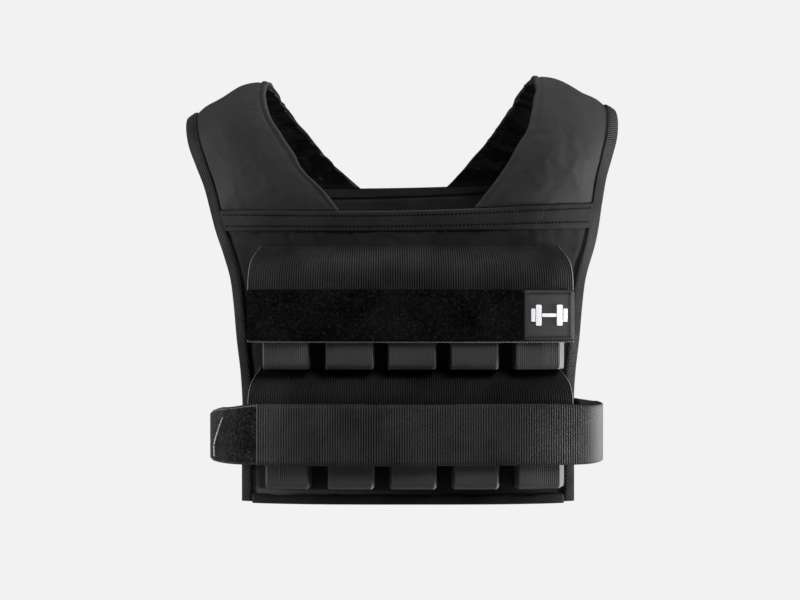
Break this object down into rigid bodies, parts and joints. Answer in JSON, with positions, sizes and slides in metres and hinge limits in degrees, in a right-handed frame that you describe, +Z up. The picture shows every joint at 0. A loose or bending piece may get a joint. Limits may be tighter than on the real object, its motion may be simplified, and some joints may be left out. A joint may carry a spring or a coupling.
{
  "type": "weighted vest",
  "caption": "Pullover training vest with padded shoulder straps, rows of flap-covered pockets for weight bars on front and back, and a webbing belt closed by hook and loop.",
  "frame": {"origin": "mount shoulder_rest: on the centre plane, midway between front and back, level with the underside of the shoulder straps at their crest", "axes": "+Z up as worn, the front of the vest faces -Y, +X to the right of someone who looks at the front"},
  "size_m": [0.4155, 0.3086, 0.4053],
  "materials": {
    "shell": "black woven nylon, matt",
    "strap_cloth": "black close-woven nylon over padding, matt",
    "satin": "black satin lining, slight sheen",
    "twill": "black ribbed binding tape, matt",
    "webbing": "black ribbed nylon webbing, slight sheen on the ribs",
    "pile": "black loop pile of hook-and-loop tape",
    "patch_rubber": "dark grey soft rubber, moulded",
    "white_rubber": "white soft rubber, raised"
  },
  "bodies": {
    "root": {"front_panel": "shell", "back_panel": "shell", "chest_band": "shell", "back_band": "shell", "shoulder_strap_left": "strap_cloth", "shoulder_strap_right": "strap_cloth", "strap_lining_left": "satin", "strap_lining_right": "satin", "binding_left": "twill", "binding_right": "twill", "hem_front": "twill", "hem_back": "twill", "flap_front_upper": "webbing", "flap_front_lower": "webbing", "flap_back_upper": "webbing", "flap_back_lower": "webbing", "loop_strip": "pile", "patch": "patch_rubber", "patch_mark": "white_rubber", "pocket_front_upper_1": "webbing", "pocket_front_upper_2": "webbing", "pocket_front_upper_3": "webbing", "pocket_front_upper_4": "webbing", "pocket_front_upper_5": "webbing", "pocket_front_lower_1": "webbing", "pocket_front_lower_2": "webbing", "pocket_front_lower_3": "webbing", "pocket_front_lower_4": "webbing", "pocket_front_lower_5": "webbing", "pocket_back_upper_1": "webbing", "pocket_back_upper_2": "webbing", "pocket_back_upper_3": "webbing", "pocket_back_upper_4": "webbing", "pocket_back_upper_5": "webbing", "pocket_back_lower_1": "webbing", "pocket_back_lower_2": "webbing", "pocket_back_lower_3": "webbing", "pocket_back_lower_4": "webbing", "pocket_back_lower_5": "webbing", "belt": "webbing", "belt_pile": "pile"}
  },
  "joints": []
}
